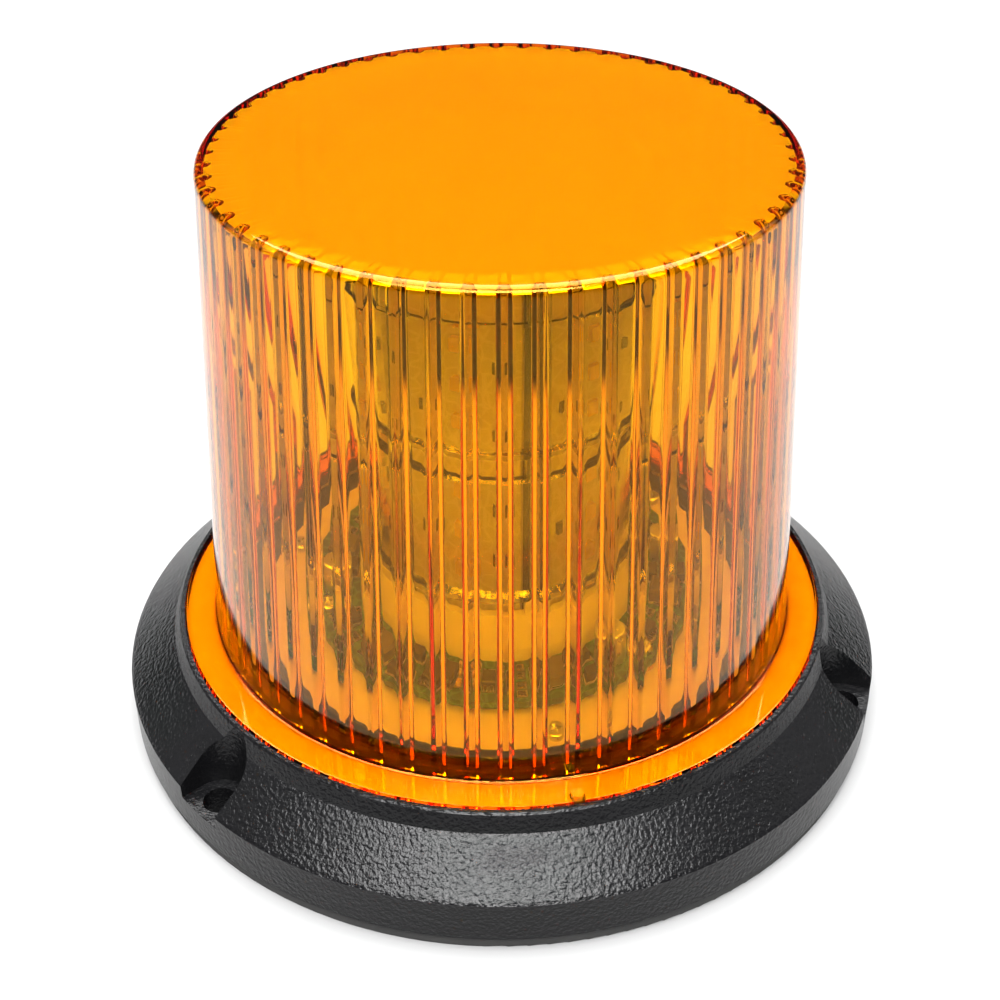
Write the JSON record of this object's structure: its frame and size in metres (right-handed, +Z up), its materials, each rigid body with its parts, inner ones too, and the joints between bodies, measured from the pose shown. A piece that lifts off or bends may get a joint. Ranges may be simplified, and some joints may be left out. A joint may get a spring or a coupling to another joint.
{
  "type": "led warning beacon",
  "caption": "Amber LED warning beacon: a flat-topped ribbed lens drum on a low round black base with open mounting pockets, an LED tower and circuit board inside.",
  "frame": {"origin": "centre of the underside of the foot gasket, where the beacon stands", "axes": "+Z up along the lens axis; -Y faces the side between two mounting pockets"},
  "size_m": [0.163, 0.163, 0.1256],
  "materials": {
    "base_black": "black powder-like fine orange-peel texture, satin",
    "gasket_rubber": "matte black rubber",
    "seal_silicone": "pale silicone",
    "amber_lens": "clear amber polycarbonate, polished",
    "plate_white": "satin white paint",
    "pcb_green": "green solder mask with tinned pads",
    "board_white": "white solder mask",
    "core_black": "black anodised",
    "tower_white": "white moulded plastic",
    "optic_clear": "clear acrylic",
    "led_emitter": "silicone emitter on a white ceramic body",
    "chip_black": "moulded epoxy with tinned leads",
    "inductor_grey": "pressed ferrite",
    "ceramic_tan": "fired ceramic with tinned ends",
    "can_metal": "brushed can with a printed sleeve",
    "terminal_green": "moulded green plastic",
    "spacer_brass": "turned brass",
    "screw_steel": "zinc plated"
  },
  "bodies": {
    "root": {"base_housing": "base_black", "cable_grommet": "gasket_rubber", "chassis_plate": "plate_white", "chassis_screws": "screw_steel", "chip_capacitors": "ceramic_tan", "chip_resistors": "chip_black", "controller_chip": "chip_black", "dome_lens": "amber_lens", "driver_chips": "chip_black", "filter_capacitors": "can_metal", "led_board_1": "board_white", "led_board_2": "board_white", "led_board_3": "board_white", "led_board_4": "board_white", "led_board_5": "board_white", "led_board_6": "board_white", "led_board_resistors": "chip_black", "lens_screws": "screw_steel", "lens_seal": "seal_silicone", "lower_leds": "led_emitter", "lower_optic": "optic_clear", "main_pcb": "pcb_green", "mounting_gasket": "gasket_rubber", "pcb_screws": "screw_steel", "pcb_spacers": "spacer_brass", "power_diodes": "chip_black", "power_inductors": "inductor_grey", "tower_cap": "tower_white", "tower_cap_screw": "screw_steel", "tower_core": "core_black", "tower_foot": "tower_white", "tower_screws": "screw_steel", "upper_leds": "led_emitter", "upper_optic": "optic_clear", "wire_terminal": "terminal_green"}
  },
  "joints": []
}
